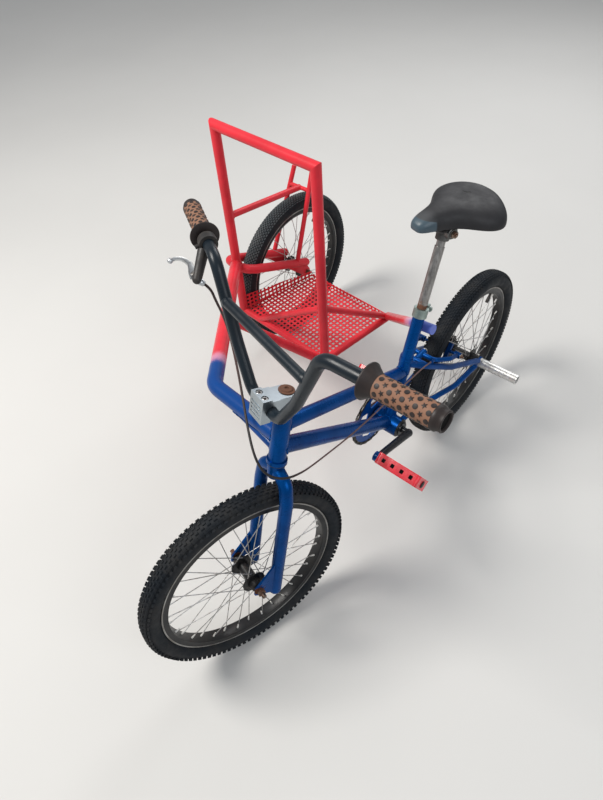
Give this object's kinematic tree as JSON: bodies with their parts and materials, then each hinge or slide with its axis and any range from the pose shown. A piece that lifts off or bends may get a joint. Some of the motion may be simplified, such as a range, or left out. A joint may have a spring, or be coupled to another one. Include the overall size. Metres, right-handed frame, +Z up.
{
  "type": "sidecar bicycle",
  "caption": "Small-wheeled bicycle with a welded tube sidecar: a hoop, a perforated standing pan and a third wheel beside the rear wheel.",
  "frame": {"origin": "centre of the footprint's box on the floor, under the lowest points of the three tyres", "axes": "+X to the rider's left across the bicycle, +Y to the rear, +Z up; the sidecar is on the rider's right, at -X"},
  "size_m": [1.0824, 1.4165, 0.961],
  "materials": {
    "frame_blue": "metallic royal blue paint with chips and light rust",
    "fork_blue": "the same blue paint, more worn",
    "sidecar_red": "bright coral red sprayed paint, satin",
    "sidecar_fade": "red paint that fades to the frame's blue at one end",
    "pan_red": "red painted perforated sheet",
    "black_paint": "worn black paint",
    "ring_blue": "blue painted sprocket",
    "chain_black": "dark oily steel",
    "stem_silver": "dull cast alloy",
    "rusty_steel": "brown rusted steel",
    "post_steel": "scratched grey steel, rust at the foot",
    "clamp_alloy": "dull alloy",
    "peg_steel": "worn bright metal, brown below",
    "brake_steel": "dark dusty steel",
    "lever_black": "dull black",
    "lever_alloy": "bare alloy",
    "grip_brown": "soft brown grip with dark dots",
    "pedal_red": "translucent red resin",
    "tyre_black": "black rubber with dusty sides",
    "rim_black": "black rim with a bare edge",
    "hub_steel": "black hub with bright steel spokes",
    "cable_black": "black cable housing",
    "saddle_black": "black padded cover with a glossy nose"
  },
  "bodies": {
    "frame": {"bottom_bracket": "frame_blue", "head_tube": "frame_blue", "seat_tube": "frame_blue", "top_tube": "frame_blue", "down_tube": "frame_blue", "chain_stays": "frame_blue", "seat_stays": "frame_blue", "rear_brake": "brake_steel", "rear_axle": "rusty_steel", "rear_peg": "peg_steel", "seat_clamp": "clamp_alloy", "seatpost": "post_steel", "saddle_clamp": "rusty_steel", "saddle": "saddle_black", "chain": "chain_black", "brake_cable": "cable_black", "hoop": "sidecar_red", "outrigger": "sidecar_fade", "front_strut": "sidecar_red", "pan_edges": "sidecar_red", "link_tube": "sidecar_fade", "hoop_braces": "sidecar_red", "side_fork": "sidecar_red", "side_struts": "sidecar_red", "side_axle": "rusty_steel", "pan": "pan_red"},
    "steering": {"fork": "fork_blue", "front_axle": "rusty_steel", "stem": "stem_silver", "stem_cap": "stem_silver", "stem_bolt": "rusty_steel", "handlebar": "black_paint", "handlebar_crossbar": "black_paint", "grip_left": "grip_brown", "grip_right": "grip_brown", "brake_lever": "lever_black", "brake_blade": "lever_alloy"},
    "front_wheel": {"front_tyre": "tyre_black", "front_rim": "rim_black", "front_hub": "hub_steel"},
    "rear_wheel": {"rear_tyre": "tyre_black", "rear_rim": "rim_black", "rear_hub": "hub_steel"},
    "side_wheel": {"side_tyre": "tyre_black", "side_rim": "rim_black", "side_hub": "hub_steel"},
    "crank": {"crank": "black_paint", "chainring": "ring_blue"},
    "pedal_left": {"pedal_left": "pedal_red"},
    "pedal_right": {"pedal_right": "pedal_red"}
  },
  "joints": [
    {"name": "steering", "type": "hinge", "parent": "frame", "child": "steering", "pos_m": [0.20144, -0.31678, 0.61199], "axis": [0, 0.288, 0.9576], "range_deg": [-35, 65], "deforming": ["brake_cable"]},
    {"name": "front_wheel_spin", "type": "hinge", "parent": "steering", "child": "front_wheel", "pos_m": [0.19199, -0.46222, 0.25265], "axis": [0.9668, -0.2446, 0.0736], "continuous": true},
    {"name": "rear_wheel_spin", "type": "hinge", "parent": "frame", "child": "rear_wheel", "pos_m": [0.20144, 0.4246, 0.253], "axis": [1, 0, 0], "continuous": true},
    {"name": "side_wheel_spin", "type": "hinge", "parent": "frame", "child": "side_wheel", "pos_m": [-0.47316, 0.4553, 0.253], "axis": [1, 0, 0], "continuous": true},
    {"name": "crank_spin", "type": "hinge", "parent": "frame", "child": "crank", "pos_m": [0.20144, 0.0563, 0.2946], "axis": [1, 0, 0], "continuous": true},
    {"name": "pedal_left_spin", "type": "hinge", "parent": "crank", "child": "pedal_left", "pos_m": [0.33344, -0.0808, 0.34181], "axis": [1, 0, 0], "continuous": true},
    {"name": "pedal_right_spin", "type": "hinge", "parent": "crank", "child": "pedal_right", "pos_m": [0.06944, 0.1934, 0.24739], "axis": [1, 0, 0], "continuous": true}
  ]
}
